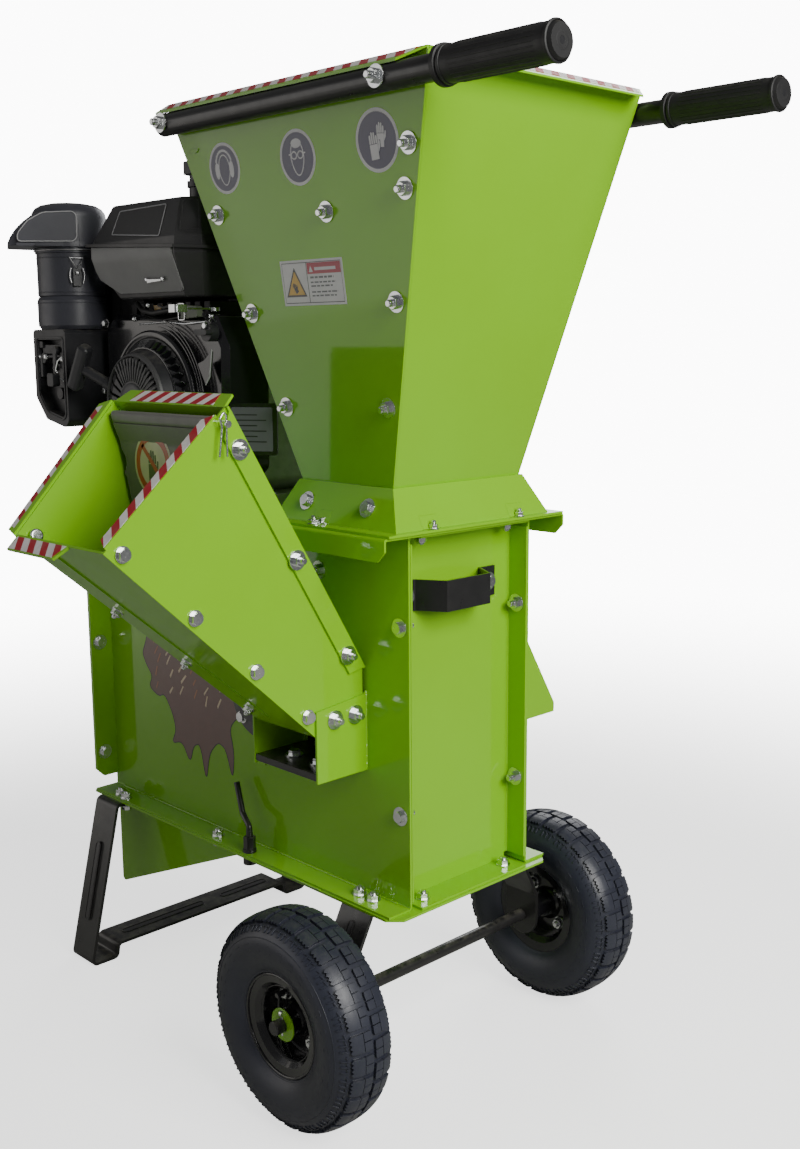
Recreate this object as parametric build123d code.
"""Two-feed garden wood chipper: sheet-metal mill housing, top hopper, side chute, engine on top.

All sizes are millimetres.  +Z is up, +X points to the wheels and the push handles, -Y is the
side that carries the branch chute, +Y is the belt drive side.  Sizes are first laid out about
the point on the ground below the middle of the wheel axle, and the finished pieces are then
moved so that the origin is the bottom centre of the whole machine's box.
"""
from build123d import *
import math
import os

# ---------------------------------------------------------------- driving dimensions
SHEET = 3.0                    # housing and chute sheet thickness
HOPPER_SHEET = 2.5             # hopper wall thickness
HALF_WIDTH = 105.0             # outer face of each housing side panel, from the middle plane
PANEL_ENGINE_X = -582.0        # engine end of the side panels
PANEL_WHEEL_X = 61.5           # wheel end of the side panels
BASE_Z = 242.0                 # top of the base plate
ROOF_Z = 693.0                 # underside of the top plate
FLANGE_Y = 142.0               # outer edge of the housing flanges
BASE_ENGINE_X = -590.0
BASE_WHEEL_X = 73.0
WHEEL_PANEL_X = 33.5           # outer face of the recessed wheel-end panel

THROAT_Z = 746.0               # hopper throat: outer size and flare per millimetre of height
THROAT_ENGINE_X = -118.0
THROAT_WHEEL_X = 41.0
THROAT_Y = 108.0
MOUTH_Z = 1187.0               # top of the hopper walls
MOUTH_ENGINE_X = -279.0
MOUTH_WHEEL_X = 164.0
MOUTH_Y = 174.0
HOPPER_FOOT_Z = 706.0
RIM_OUT = 21.0                 # folded hopper rim: how far it stands out and drops
RIM_DROP = 12.0
RIM_Z = 1193.0

TUBE_Y = 186.0                 # push handle tubes
TUBE_Z = 1167.2
TUBE_R = 13.3
TUBE_START_X = -272.0
TUBE_END_X = 330.0
GRIP_R = 18.0
GRIP_START_X = 196.0
GRIP_END_X = 341.0

CHUTE_NEAR_X = -14.0           # outer face of the chute's upright panel
CHUTE_LEAN = 0.289             # sideways lean of the opposite panel per millimetre of height
CHUTE_FAR_X = -122.0           # that panel at the foot of the chute
MOUTH_TOP = (-298.0, 843.0)    # chute outline in (y, z)
MOUTH_FOOT = (-452.0, 705.0)
CHUTE_FOOT = (-184.0, 458.0)
CHUTE_HEAD = (-109.0, 527.6)
CHUTE_LIP = 17.0
FLAP_Y = -303.0                # flap hinge rod
FLAP_Z = 826.0
FLAP_ROD_R = 4.0
FLAP_LENGTH = 188.0

ROTOR_X = -215.0               # rotor shaft
ROTOR_Z = 452.0
ROTOR_R = 193.0
ROTOR_SHAFT_R = 15.0
CRANK_X = -352.0               # engine crankshaft
CRANK_Z = 832.0
ROTOR_PULLEY_R = 80.0
CRANK_PULLEY_R = 42.0
CRANK_R = 12.5
BELT_Y = 139.0                 # middle plane of the belt
BELT_HALF = 4.2

WHEEL_R = 130.0
WHEEL_Y = 227.0
TYRE_HALF = 42.5
RIM_R = 62.5
AXLE_R = 8.0
AXLE_HALF = 257.0
AXLE_Z = 130.0
SHAFT_GAP = 0.08               # running clearance of shafts and pins
BODY_GAP = 0.4                 # clearance between pieces that move past each other

STAND_X = (-566.0, -511.0)
STAND_STRIP = 4.5

M8_R = 4.0
HOLE_R = 4.3
WASHER_R = 11.5
HEX_R = 7.4

CLEANER_X = -543.0             # air cleaner axis
CLEANER_Y = -163.0
ENGINE_FEET = [(-459.0, -62.0), (-459.0, 56.0), (-245.0, -62.0), (-245.0, 56.0)]
CAP_X = -300.0                 # fuel cap axis
CAP_Y = -112.0
PULL = (-0.76, -0.45, 0.47)    # way the starter rope is pulled
ROPE_EXIT = (-414.0, -184.0, 853.0)
GRIP_SEAT = 13.0               # from the rope exit to the starter grip


# ---------------------------------------------------------------- shape helpers
def block(x0, x1, y0, y1, z0, z1):
    """Box between two corners."""
    size = Box(x1 - x0, y1 - y0, z1 - z0)
    return Pos((x0 + x1) / 2, (y0 + y1) / 2, (z0 + z1) / 2) * size


def slab(points, push):
    """Flat outline given by 3-D points, thickened along a vector."""
    face = Face(Wire.make_polygon(points, close=True))
    return Part() + Solid.extrude(face, Vector(*push))


def plate_xz(points, y0, y1):
    """Outline in X and Z, thick along Y."""
    return slab([(x, y0, z) for x, z in points], (0, y1 - y0, 0))


def plate_yz(points, x0, x1):
    """Outline in Y and Z, thick along X."""
    return slab([(x0, y, z) for y, z in points], (x1 - x0, 0, 0))


def plate_xy(points, z0, z1):
    """Outline in X and Y, thick along Z."""
    return slab([(x, y, z0) for x, y in points], (0, 0, z1 - z0))


def rod(start, end, radius):
    """Round bar between two points."""
    axis = Vector(*end) - Vector(*start)
    return Part() + Solid.make_cylinder(radius, axis.length, Plane(origin=start, z_dir=axis))


def turned_y(points, x, z):
    """Ring or disc about a line along Y, from an outline in (radius, y)."""
    face = Face(Wire.make_polygon([(x + r, y, z) for r, y in points], close=True))
    return Part() + Solid.revolve(face, 360, Axis((x, 0, z), (0, 1, 0)))


def turned_z(points, x, y):
    """Ring or disc about an upright line, from an outline in (radius, z)."""
    face = Face(Wire.make_polygon([(x + r, y, z) for r, z in points], close=True))
    return Part() + Solid.revolve(face, 360, Axis((x, y, 0), (0, 0, 1)))


def mirrored(part):
    """The same piece on the other side of the middle plane."""
    return mirror(part, about=Plane.XZ)


def ruled(low, high):
    """Block between two level rectangles, each (x0, x1, y0, y1, z)."""
    faces = []
    for x0, x1, y0, y1, z in (low, high):
        corners = [(x0, y0, z), (x1, y0, z), (x1, y1, z), (x0, y1, z)]
        faces.append(Face(Wire.make_polygon(corners, close=True)))
    return Part() + loft(faces, ruled=True)


def bent_sheet(path, across, width, thickness, bend):
    """Sheet of even thickness folded along a path of 3-D points, as wide as stated each side of it."""
    line = FilletPolyline(*path, radius=bend)
    start = Plane(origin=line @ 0, x_dir=across, z_dir=line % 0)
    return sweep(start * Rectangle(width, thickness), path=line)


def bent_strip(path, thickness, x0, x1, bend):
    """Flat bar bent along an open path in (y, z)."""
    middle = (x0 + x1) / 2
    return bent_sheet([(middle, y, z) for y, z in path], (1, 0, 0), x1 - x0, thickness, bend)


def soften(part, axis, radius, low=None, high=None):
    """Round the straight edges along one axis, with middles inside an optional box."""
    edges = part.edges().filter_by(GeomType.LINE).filter_by(axis)
    if low is not None:
        middles = [(edge, edge.center()) for edge in edges]
        edges = [e for e, c in middles
                 if all(a <= v <= b for a, v, b in zip(low, (c.X, c.Y, c.Z), high))]
    return fillet(edges, radius)


# ---------------------------------------------------------------- fasteners
def hex_solid(height, radius=HEX_R):
    """Hexagon with its top corners turned off."""
    body = extrude(RegularPolygon(radius, 6), height)
    cap = Cone(radius + height, radius - 0.9, height, align=(Align.CENTER, Align.CENTER, Align.MIN))
    return body & cap


def nut_end(tail=6.0, washer=WASHER_R):
    """Washer, nut and stud end standing on a surface."""
    plate = Cylinder(washer, 1.6, align=(Align.CENTER, Align.CENTER, Align.MIN))
    nut = Pos(0, 0, 1.6) * hex_solid(6.5)
    stud = Cylinder(M8_R, 8.1 + tail, align=(Align.CENTER, Align.CENTER, Align.MIN))
    return plate + nut + chamfer(stud.edges().sort_by(Axis.Z)[-1], 0.9)


def head_end(washer=WASHER_R):
    """Washer and hexagon head standing on a surface."""
    plate = Cylinder(washer, 1.6, align=(Align.CENTER, Align.CENTER, Align.MIN))
    return plate + Pos(0, 0, 1.6) * hex_solid(5.3)


def button_end():
    """Low domed head, used where chips slide past."""
    dome = Cylinder(8.0, 3.2, align=(Align.CENTER, Align.CENTER, Align.MIN))
    return fillet(dome.edges().sort_by(Axis.Z)[-1], 2.4)


def fastener(near, far, grip):
    """Bolt along +Z: the near end stands on z = 0, the far end below the grip."""
    shank = Cylinder(M8_R, grip, align=(Align.CENTER, Align.CENTER, Align.MAX))
    return near + shank + Pos(0, 0, -grip) * Rot(180, 0, 0) * far


NUT = nut_end()
SHORT_NUT = nut_end(3.0, 9.0)
HEAD = head_end()
SMALL_HEAD = head_end(9.0)
BUTTON = button_end()


def place(shape, at, out):
    """Stand a fastener on a surface point, pointing out of the surface."""
    return Plane(origin=at, z_dir=out).location * shape


def drill(at, out, grip, radius=HOLE_R):
    """Clearance hole for a fastener."""
    direction = Vector(*out).normalized()
    start = Vector(*at) + direction * 1.0
    end = Vector(*at) - direction * (grip + 1.0)
    return rod(start, end, radius)


def drilled(part, holes):
    """Cut every hole that comes near the piece."""
    limits = part.bounding_box()
    for at, out, grip in holes:
        spot = Vector(*at)
        inside = (limits.min.X - 8 < spot.X < limits.max.X + 8
                  and limits.min.Y - 8 < spot.Y < limits.max.Y + 8
                  and limits.min.Z - 8 < spot.Z < limits.max.Z + 8)
        if inside:
            part = part - drill(at, out, grip)
    return part


# ---------------------------------------------------------------- hopper planes
def hopper_engine_x(z):
    """Outer face of the hopper wall on the engine side."""
    return THROAT_ENGINE_X + (MOUTH_ENGINE_X - THROAT_ENGINE_X) * (z - THROAT_Z) / (MOUTH_Z - THROAT_Z)


def hopper_wheel_x(z):
    """Outer face of the hopper wall on the wheel side."""
    return THROAT_WHEEL_X + (MOUTH_WHEEL_X - THROAT_WHEEL_X) * (z - THROAT_Z) / (MOUTH_Z - THROAT_Z)


def hopper_y(z):
    """Outer face of the hopper walls over the two side panels."""
    return THROAT_Y + (MOUTH_Y - THROAT_Y) * (z - THROAT_Z) / (MOUTH_Z - THROAT_Z)


def chute_far_x(z):
    """Outer face of the leaning chute panel."""
    return CHUTE_FAR_X - CHUTE_LEAN * (z - CHUTE_FOOT[1])


# ---------------------------------------------------------------- fastener positions
HOPPER_GRIP = 2 * HOPPER_SHEET + 0.2
wall_slope = (MOUTH_Y - THROAT_Y) / (MOUTH_Z - THROAT_Z)
HOPPER_SPOTS = [(-209, 1060), (-170, 944), (-128.5, 833), (125, 1107), (113, 1064), (81, 951), (49, 837)]
HOPPER_HOLES = []
for side in (-1, 1):
    for spot_x, spot_z in HOPPER_SPOTS:
        normal = (0, side, -wall_slope)
        HOPPER_HOLES.append(((spot_x, side * hopper_y(spot_z), spot_z), normal, HOPPER_GRIP))
BRACE_HOLES = [((-13, side * hopper_y(1050), 1050), (0, side, -wall_slope), HOPPER_SHEET)
               for side in (-1, 1)]
TUBE_HOLES = [((x, side * (TUBE_Y + TUBE_R), TUBE_Z), (0, side, 0), 2 * TUBE_R + 5.6)
              for side in (-1, 1) for x in (-258.5, 117)]
ROOF_HOLES = [((50.5, y, 699.0), (0, 0, 1), 9.0) for y in (-74, 74)]
ROOF_HOLES += [((x, side * 126, 699.0), (0, 0, 1), 9.0) for side in (-1, 1) for x in (-60,)]
COLLAR_SLOPE = (20.0, 47.0)
COLLAR_HOLES = []
for side in (-1, 1):
    for spot_x, spot_z in ((-94, 722), (12.5, 722)):
        spot_y = side * (111 + COLLAR_SLOPE[0] * (THROAT_Z - spot_z) / COLLAR_SLOPE[1])
        COLLAR_HOLES.append(((spot_x, spot_y, spot_z), (0, side, COLLAR_SLOPE[0] / COLLAR_SLOPE[1]), SHEET))
END_HOLES = [((x, side * HALF_WIDTH, z), (0, side, 0), 2 * SHEET)
             for side in (-1, 1) for x, z in ((46.8, 585), (46.8, 357))]
SIDE_HOLES = [((-93.5, side * HALF_WIDTH, 636), (0, side, 0), SHEET) for side in (-1, 1)]
BACK_HOLES = [((PANEL_ENGINE_X + SHEET, side * 126, z), (1, 0, 0), 2 * SHEET)
              for side in (-1, 1) for z in (300, 470, 640)]
FLANGE_TOP = BASE_Z + SHEET
FLANGE_HOLES = []
for side in (-1, 1):
    for spot_x, spot_y in ((-532, 130), (-511.5, 133.5), (-292, 127)):
        FLANGE_HOLES.append(((spot_x, side * spot_y, FLANGE_TOP), (0, 0, 1), 2 * SHEET))
    for spot_x in (-12.5, 12.0):
        FLANGE_HOLES.append(((spot_x, side * 119, FLANGE_TOP), (0, 0, 1), 2 * SHEET))
    FLANGE_HOLES.append(((50.5, side * 73, FLANGE_TOP), (0, 0, 1), 2 * SHEET))
LEVER_SPOT = (-216.0, -131.0)
CHUTE_LOW = [(-430, 702), (-345.7, 624.2), (-266.9, 551.6), (-194.5, 484.8)]
CHUTE_HIGH = [(-283, 798), (-208, 670), (-134, 548)]
far_normal = (-1.0, 0.0, -CHUTE_LEAN)
CHUTE_NEAR_HOLES = [((CHUTE_NEAR_X, y, z), (1, 0, 0), 2 * SHEET + 0.06) for y, z in CHUTE_LOW]
CHUTE_COVER_HOLES = [((CHUTE_NEAR_X + SHEET + 0.05, y, z), (1, 0, 0), 2 * SHEET + 0.05)
                     for y, z in CHUTE_HIGH]
CHUTE_FAR_HOLES = [((chute_far_x(z), y, z), far_normal, 2 * SHEET + 0.5) for y, z in CHUTE_LOW]
THROAT_HOLES = [((CHUTE_NEAR_X + SHEET + 0.05, y, 474), (1, 0, 0), 2 * SHEET + 0.05) for y in (-156, -124)]
ANVIL_HOLES = [((x, -152, 412.0), (0, 0, 1), 8.0) for x in (-92, -46)]
BEARING_HOLES = [((ROTOR_X + 44 * math.cos(a), side * (HALF_WIDTH + 8), ROTOR_Z + 44 * math.sin(a)),
                  (0, side, 0), 8 + SHEET)
                 for side in (-1, 1) for a in (math.radians(45), math.radians(225))]
CARRY_HOLES = [((WHEEL_PANEL_X + SHEET, y, 617), (1, 0, 0), 2 * SHEET) for y in (-84, 57)]


# ---------------------------------------------------------------- housing
def side_panel():
    """Feed-side housing panel with three outward flanges."""
    half = SHEET / 2
    skin = -HALF_WIDTH + half
    path = [(-FLANGE_Y + 2, BASE_Z + half), (skin, BASE_Z + half), (skin, ROOF_Z - half), (-FLANGE_Y, ROOF_Z - half)]
    panel = bent_strip(path, SHEET, PANEL_ENGINE_X, PANEL_WHEEL_X, SHEET)
    outer, root = -FLANGE_Y + 2, -HALF_WIDTH + 1
    end = plate_yz([(outer, 274), (outer + 12, 262), (root, 262), (root, 676), (outer + 12, 676), (outer, 664)],
                   PANEL_ENGINE_X, PANEL_ENGINE_X + SHEET)
    trim = block(PANEL_ENGINE_X - 1, PANEL_ENGINE_X + 12, -FLANGE_Y - 1, -HALF_WIDTH, ROOF_Z - 6, ROOF_Z + 1)
    return panel + end - trim


def feed_side_panel():
    """Side panel with the branch throat and the shaft hole."""
    window = block(-126, -17, -HALF_WIDTH - 1, -HALF_WIDTH + SHEET + 1, 404, 489)
    shaft = rod((ROTOR_X, -HALF_WIDTH - 1, ROTOR_Z), (ROTOR_X, -HALF_WIDTH + SHEET + 1, ROTOR_Z), 20)
    panel = side_panel() - window - shaft
    slot = drill((LEVER_SPOT[0], LEVER_SPOT[1], FLANGE_TOP), (0, 0, 1), 2 * SHEET, 5.4)
    return drilled(panel - slot, END_HOLES + SIDE_HOLES + BACK_HOLES + FLANGE_HOLES + ROOF_HOLES
                   + BEARING_HOLES)


def drive_side_panel():
    """Side panel behind the belt, with its top flange cut away for the belt guard."""
    window = block(-430, -150, HALF_WIDTH + 0.05, FLANGE_Y + 1, ROOF_Z - 12, ROOF_Z + 1)
    shaft = rod((ROTOR_X, HALF_WIDTH - SHEET - 1, ROTOR_Z), (ROTOR_X, HALF_WIDTH + 1, ROTOR_Z), 20)
    panel = mirrored(side_panel()) - window - shaft
    return drilled(panel, END_HOLES + SIDE_HOLES + BACK_HOLES + FLANGE_HOLES + ROOF_HOLES
                   + BEARING_HOLES)


def wheel_end_panel():
    """Recessed end panel with four flanges pointing at the wheels."""
    half = SHEET / 2
    side = HALF_WIDTH - SHEET - half
    skin = WHEEL_PANEL_X - half
    tip = PANEL_WHEEL_X + 0.5
    middle = (BASE_Z + ROOF_Z) / 2
    path = [(tip, -side, middle), (skin, -side, middle), (skin, side, middle), (tip, side, middle)]
    panel = bent_sheet(path, (0, 0, 1), ROOF_Z - BASE_Z - 20, SHEET, SHEET)
    inner = side - 7
    for z in (BASE_Z, ROOF_Z - SHEET):
        panel = panel + block(skin - half, 70, -inner, inner, z, z + SHEET)
    panel = panel + block(skin - half, skin + half, -inner, inner, BASE_Z, ROOF_Z)
    return drilled(panel, END_HOLES + ROOF_HOLES + FLANGE_HOLES + [
        ((WHEEL_PANEL_X, at[1], at[2]), out, 2 * SHEET) for at, out, grip in CARRY_HOLES])


def engine_end_panel():
    """Flat end panel bolted to the side panels' end flanges."""
    x0, x1 = PANEL_ENGINE_X - SHEET, PANEL_ENGINE_X
    inner_y = HALF_WIDTH - SHEET
    wide = FLANGE_Y - 2
    outline = [(-inner_y, BASE_Z), (inner_y, BASE_Z), (inner_y, 262), (wide - 12, 262), (wide, 274),
               (wide, 664), (wide - 12, 676), (inner_y, 676), (inner_y, ROOF_Z), (-inner_y, ROOF_Z),
               (-inner_y, 676), (-wide + 12, 676), (-wide, 664), (-wide, 274), (-wide + 12, 262),
               (-inner_y, 262)]
    panel = plate_yz(outline, x0, x1)
    for z in (380, 560):
        rib = rod((x0, -80, z), (x0, 80, z), 6)
        panel = panel + (rib & block(x0 - 6, x0 + 1, -90, 90, z - 8, z + 8))
    return drilled(panel, [((PANEL_ENGINE_X + SHEET, at[1], at[2]), out, 2 * SHEET)
                           for at, out, grip in BACK_HOLES])


def base_plate():
    """Bottom plate with the discharge opening."""
    x0, x1, y1 = BASE_ENGINE_X, BASE_WHEEL_X, FLANGE_Y
    outline = [(x0 + 6, -y1), (x1 - 16, -y1), (x1, -y1 + 16), (x1, y1 - 16), (x1 - 16, y1),
               (x0 + 6, y1), (x0, y1 - 6), (x0, -y1 + 6)]
    plate = plate_xy(outline, BASE_Z - SHEET, BASE_Z)
    plate = plate - block(-574, -240, -HALF_WIDTH + SHEET, HALF_WIDTH - SHEET, BASE_Z - 5, BASE_Z + 1)
    slot = drill((LEVER_SPOT[0], LEVER_SPOT[1], BASE_Z), (0, 0, 1), SHEET, 5.4)
    return drilled(plate - slot, [((at[0], at[1], BASE_Z), out, SHEET + 6)
                                  for at, out, grip in FLANGE_HOLES])


def discharge_spout():
    """Open trough under the housing that throws the chips out at the engine end."""
    top = BASE_Z - SHEET
    x_end, z_end, x_root = -578.0, 86.0, -222.0
    slope = (top - z_end) / (x_root - x_end)
    cheek = plate_xz([(x_end, top), (x_end, z_end), (x_root, top)], -HALF_WIDTH, -HALF_WIDTH + SHEET)
    tip = [edge for edge in cheek.edges().filter_by(Axis.Y) if edge.center().Z < z_end + 1]
    cheek = fillet(tip, 6)
    rise = SHEET / math.cos(math.atan(slope))
    floor = plate_xz([(x_end + 6, z_end + 6 * slope), (x_root - rise / slope, top - rise),
                      (x_root - 2 * rise / slope, top - rise), (x_end + 6, z_end + 6 * slope + rise)],
                     -HALF_WIDTH + SHEET, HALF_WIDTH - SHEET)
    return cheek + mirrored(cheek) + floor


def top_plate():
    """Deck over the housing: carries the engine and the hopper, lips turned down each side."""
    x0, x1, y1 = PANEL_ENGINE_X - 8, 75.0, 155.0
    plate = block(x0, x1, -y1, y1, ROOF_Z, ROOF_Z + SHEET)
    lip = plate_xz([(x0, ROOF_Z + SHEET), (x0, ROOF_Z - 12), (x0 + 12, ROOF_Z - 24),
                    (x1 - 12, ROOF_Z - 24), (x1, ROOF_Z - 12), (x1, ROOF_Z + SHEET)], -y1, -y1 + SHEET)
    plate = plate + lip + mirrored(lip)
    bends = [edge for edge in plate.edges().filter_by(Axis.X)
             if abs(abs(edge.center().Y) - y1) < 0.1 and edge.center().Z > ROOF_Z + 2]
    plate = fillet(bends, SHEET + 1)
    plate = plate - block(-114, 36, -98, 98, ROOF_Z - 1, ROOF_Z + SHEET + 1)
    plate = plate - block(-430, -150, HALF_WIDTH, y1 + 1, ROOF_Z - 30, ROOF_Z + SHEET + 1)
    return drilled(plate, [((at[0], at[1], ROOF_Z + SHEET), out, 6) for at, out, grip in ROOF_HOLES]
                   + [((x, y, ROOF_Z + SHEET), (0, 0, 1), 6) for x, y in ENGINE_FEET])


# ---------------------------------------------------------------- hopper
def hopper_collar():
    """Flange plate with four leaning strips that hold the foot of the hopper."""
    z0, z1 = ROOF_Z + SHEET, ROOF_Z + 2 * SHEET
    flange = block(-176, 78, -150, 150, z0, z1) - block(-114, 36, -98, 98, z0 - 1, z1 + 1)
    inner_e, inner_w, inner_y = THROAT_ENGINE_X - 3, THROAT_WHEEL_X + 3, THROAT_Y + 3
    outer_e, outer_w, outer_y = inner_e - 26, inner_w + 25, inner_y + COLLAR_SLOPE[0]
    top = THROAT_Z
    outside = ruled((outer_e, outer_w, -outer_y, outer_y, z1), (inner_e, inner_w, -inner_y, inner_y, top))
    inside = ruled((outer_e + 3, outer_w - 3, -outer_y + 3, outer_y - 3, z1 - 0.01),
                   (inner_e + 2.9, inner_w - 2.9, -inner_y + 2.9, inner_y - 2.9, top + 0.01))
    skirt = outside - inside
    for side in (-1, 1):
        skirt = skirt - block(36, 80, side * 74 - 14, side * 74 + 14, z1, z1 + 15)
        skirt = skirt - block(-74, -46, side * 126 - 14, side * 126 + 14, z1, z1 + 15)
    collar = flange + skirt
    return drilled(collar, ROOF_HOLES + COLLAR_HOLES)


def rim_lip_y(x_in, x_tip):
    """Folded rim over one of the long hopper walls, feed side."""
    y0, y1 = -MOUTH_Y, -MOUTH_Y - RIM_OUT
    z0, z1 = RIM_Z, RIM_Z - RIM_DROP
    quad = [(x_in[0], y0, z0), (x_in[1], y0, z0), (x_tip[1], y1, z1), (x_tip[0], y1, z1)]
    return slab(quad, (0, 0, -HOPPER_SHEET))


def rim_lip_x(x_wall, out, y_in, y_tip):
    """Folded rim over one of the short hopper walls."""
    quad = [(x_wall, -y_in, RIM_Z), (x_wall, y_in, RIM_Z), (x_wall + out * RIM_OUT, y_tip, RIM_Z - RIM_DROP),
            (x_wall + out * RIM_OUT, -y_tip, RIM_Z - RIM_DROP)]
    return slab(quad, (0, 0, -HOPPER_SHEET))


def hopper_wall_feed():
    """Long hopper wall above the chute side, with its folded rim."""
    low, high = HOPPER_FOOT_Z, MOUTH_Z + 2
    quad = [(hopper_engine_x(low), -hopper_y(low), low), (hopper_wheel_x(low), -hopper_y(low), low),
            (hopper_wheel_x(high), -hopper_y(high), high), (hopper_engine_x(high), -hopper_y(high), high)]
    wall = slab(quad, (0, HOPPER_SHEET, 0))
    strip = block(MOUTH_ENGINE_X + 0.8, MOUTH_WHEEL_X - 0.8, -MOUTH_Y, -MOUTH_Y + HOPPER_SHEET,
                  MOUTH_Z - 0.5, RIM_Z)
    lip = rim_lip_y((MOUTH_ENGINE_X + 1, MOUTH_WHEEL_X - 1), (MOUTH_ENGINE_X + 4, MOUTH_WHEEL_X - 24))
    wall = wall + strip + lip
    return drilled(wall, HOPPER_HOLES + BRACE_HOLES + [
        ((at[0], out[1] * (TUBE_Y - TUBE_R - 0.5), at[2]), out, 6) for at, out, grip in TUBE_HOLES])


def hopper_wall_x(outer_x, out):
    """Short hopper wall with flanges turned in along the long walls."""
    low, high = HOPPER_FOOT_Z, MOUTH_Z
    gap = 0.05
    quad = []
    for z, sign in ((low, -1), (low, 1), (high, 1), (high, -1)):
        quad.append((outer_x(z), sign * (hopper_y(z) - HOPPER_SHEET - gap), z))
    wall = slab(quad, (-out * HOPPER_SHEET, 0, 0))
    flange_high = high - 34
    for side in (-1, 1):
        ear = []
        for z, reach in ((low, 0), (low, 26), (flange_high, 26), (flange_high, 0)):
            ear.append((outer_x(z) - out * reach, side * (hopper_y(z) - HOPPER_SHEET - gap), z))
        wall = wall + slab(ear, (0, -side * HOPPER_SHEET, 0))
    mouth_x = outer_x(MOUTH_Z)
    strip_x = sorted((mouth_x, mouth_x - out * HOPPER_SHEET))
    y_in = MOUTH_Y - HOPPER_SHEET - gap
    wall = wall + block(strip_x[0], strip_x[1], -y_in, y_in, MOUTH_Z - 0.5, RIM_Z)
    wall = wall + rim_lip_x(mouth_x, out, y_in - 1, MOUTH_Y - 24)
    return drilled(wall, HOPPER_HOLES)


def handle_tube():
    """Steel tube bolted along the top of a long hopper wall."""
    tube = rod((TUBE_START_X, -TUBE_Y, TUBE_Z), (TUBE_END_X, -TUBE_Y, TUBE_Z), TUBE_R)
    tube = tube - rod((TUBE_START_X - 1, -TUBE_Y, TUBE_Z), (TUBE_END_X + 1, -TUBE_Y, TUBE_Z), TUBE_R - 2)
    return drilled(tube, [hole for hole in TUBE_HOLES if hole[1][1] < 0])


def handle_grip():
    """Rubber grip with a collar at its inner end and a closed outer end."""
    outline = [(TUBE_R, 0), (GRIP_R + 2.2, 0), (GRIP_R + 2.2, 5), (GRIP_R - 0.6, 6), (GRIP_R - 0.6, 9),
               (GRIP_R, 10), (GRIP_R, 138), (GRIP_R - 3, 145), (3.5, 145), (3.5, 139), (0, 139),
               (0, TUBE_END_X - GRIP_START_X), (TUBE_R, TUBE_END_X - GRIP_START_X)]
    grip = turned_y(outline, 0, 0)
    grip = Rot(0, 0, -90) * grip
    return Pos(GRIP_START_X, -TUBE_Y, TUBE_Z) * grip


def carry_handle():
    """Flat bar bent into a low U on the wheel-end panel."""
    x0 = WHEEL_PANEL_X
    z0, z1 = 598.5, 635.5
    path = [(x0, -97), (x0, -70), (x0 + 34, -50), (x0 + 34, 24), (x0, 44), (x0, 69)]
    outer = []
    inner = []
    for x, y in path:
        outer.append((x + SHEET, y))
        inner.append((x, y))
    inner[1] = (x0, -68.5)
    inner[2] = (x0 + 34, -48.5)
    inner[3] = (x0 + 34, 22.5)
    inner[4] = (x0, 42.5)
    bar = plate_xy(outer + inner[::-1], z0, z1)
    bar = soften(bar, Axis.Z, 1.2, (x0 + 1, -80, z0), (x0 + 40, 60, z1))
    return drilled(bar, CARRY_HOLES)


# ---------------------------------------------------------------- branch chute
def chute_near_panel():
    """Upright chute panel on the wheel side, with the lip that turns into the mouth."""
    outline = [MOUTH_TOP, MOUTH_FOOT, CHUTE_FOOT, (CHUTE_HEAD[0], CHUTE_FOOT[1]), CHUTE_HEAD]
    panel = plate_yz(outline, CHUTE_NEAR_X - SHEET, CHUTE_NEAR_X)
    across = Vector(0, MOUTH_FOOT[0] - MOUTH_TOP[0], MOUTH_FOOT[1] - MOUTH_TOP[1]).normalized()
    start = Vector(CHUTE_NEAR_X, *MOUTH_TOP) + across * 14
    end = Vector(CHUTE_NEAR_X, *MOUTH_FOOT) - across * 5
    inward = Vector(-CHUTE_LIP, 0, 0)
    quad = [start, end, end + inward - across * 9, start + inward + across * 9]
    push = Vector(0, -across.Z, across.Y) * -SHEET
    panel = panel + slab([tuple(p) for p in quad], tuple(push))
    rod_hole = rod((CHUTE_NEAR_X - SHEET - 1, FLAP_Y, FLAP_Z), (CHUTE_NEAR_X + 1, FLAP_Y, FLAP_Z),
                   FLAP_ROD_R + SHAFT_GAP)
    return drilled(panel - rod_hole, CHUTE_NEAR_HOLES + [
        ((CHUTE_NEAR_X, at[1], at[2]), out, SHEET) for at, out, grip in CHUTE_COVER_HOLES + THROAT_HOLES])


def chute_far_panel():
    """Leaning chute panel on the engine side, with an outward lip at the mouth."""
    corners = []
    for y, z in (MOUTH_TOP, MOUTH_FOOT, CHUTE_FOOT, (CHUTE_HEAD[0], CHUTE_FOOT[1]), CHUTE_HEAD):
        corners.append((chute_far_x(z), y, z))
    panel = slab(corners, (SHEET, 0, 0))
    across = Vector(0, MOUTH_FOOT[0] - MOUTH_TOP[0], MOUTH_FOOT[1] - MOUTH_TOP[1]).normalized()
    mouth_top = Vector(chute_far_x(MOUTH_TOP[1]) + 1, *MOUTH_TOP)
    mouth_foot = Vector(chute_far_x(MOUTH_FOOT[1]) + 1, *MOUTH_FOOT)
    outward = Vector(-CHUTE_LIP - 1, 0, 0)
    quad = [mouth_top, mouth_foot, mouth_foot + outward - across * 5, mouth_top + outward + across * 8]
    push = Vector(0, -across.Z, across.Y) * -SHEET
    panel = panel + slab([tuple(p) for p in quad], tuple(push))
    far_x = chute_far_x(FLAP_Z)
    rod_hole = rod((far_x - 9, FLAP_Y, FLAP_Z), (far_x + 9, FLAP_Y, FLAP_Z), FLAP_ROD_R + SHAFT_GAP)
    return drilled(panel - rod_hole, CHUTE_FAR_HOLES)


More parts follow.
